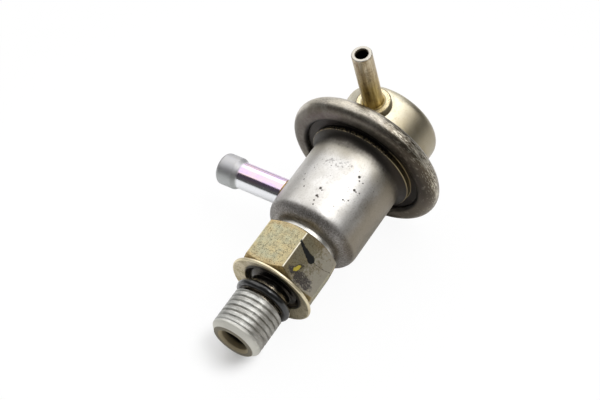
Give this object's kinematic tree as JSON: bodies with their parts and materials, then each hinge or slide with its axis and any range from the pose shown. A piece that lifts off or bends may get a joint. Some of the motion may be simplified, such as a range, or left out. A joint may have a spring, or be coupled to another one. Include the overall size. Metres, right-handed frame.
{
  "type": "fuel pressure regulator",
  "caption": "Diaphragm fuel pressure regulator with a rolled-rim steel housing, side return and vacuum pipes, and a screwed rail stem with lock nut, washer and seal ring",
  "frame": {"origin": "on the regulator's axis at the upper end of the rail thread, where the seal ring begins", "axes": "+X along the axis from the rail thread to the spring cover, +Y along the return pipe, +Z along the vacuum pipe"},
  "size_m": [0.0902, 0.0639, 0.0632],
  "materials": {
    "zinc_steel": "turned, worn zinc",
    "yellow_zinc": "yellow passivated zinc, speckled",
    "seal_rubber": "oily black",
    "satin_steel": "satin, stained",
    "pale_zinc": "satin, pale gold",
    "gold_zinc": "gold passivated zinc, streaked",
    "bright_zinc": "bright zinc with a lilac tint",
    "seat_brass": "machined",
    "diaphragm_rubber": "matt",
    "inner_steel": "pressed",
    "ball_steel": "polished",
    "spring_steel": "drawn wire"
  },
  "bodies": {
    "housing": {"stem": "zinc_steel", "o_ring": "seal_rubber", "lower_housing": "satin_steel", "spring_cover": "pale_zinc", "vacuum_pipe": "gold_zinc", "return_pipe": "bright_zinc", "valve_seat": "seat_brass", "diaphragm": "diaphragm_rubber", "pressure_spring": "spring_steel"},
    "washer": {"backup_washer": "yellow_zinc"},
    "nut": {"lock_nut": "yellow_zinc"},
    "valve": {"valve_holder": "inner_steel", "spring_seat": "inner_steel", "valve_disc": "inner_steel", "valve_ball": "ball_steel", "retainer_ring": "inner_steel", "ball_spring": "spring_steel"}
  },
  "joints": [
    {"name": "washer_travel", "type": "slide", "parent": "housing", "child": "washer", "axis": [-1, 0, 0], "range_m": [0, 0.00228]},
    {"name": "nut_turn", "type": "hinge", "parent": "washer", "child": "nut", "pos_m": [0.0155, 0, 0], "axis": [-1, 0, 0], "range_deg": [0, 468]},
    {"name": "valve_lift", "type": "slide", "parent": "housing", "child": "valve", "axis": [1, 0, 0], "range_m": [0, 0.0008], "stiffness_N_per_m": 400, "deforming": ["pressure_spring", "diaphragm"]}
  ],
  "couplings": [
    {"joint": "washer_travel", "follows": "nut_turn", "m_per_rad": 0.00027852}
  ]
}
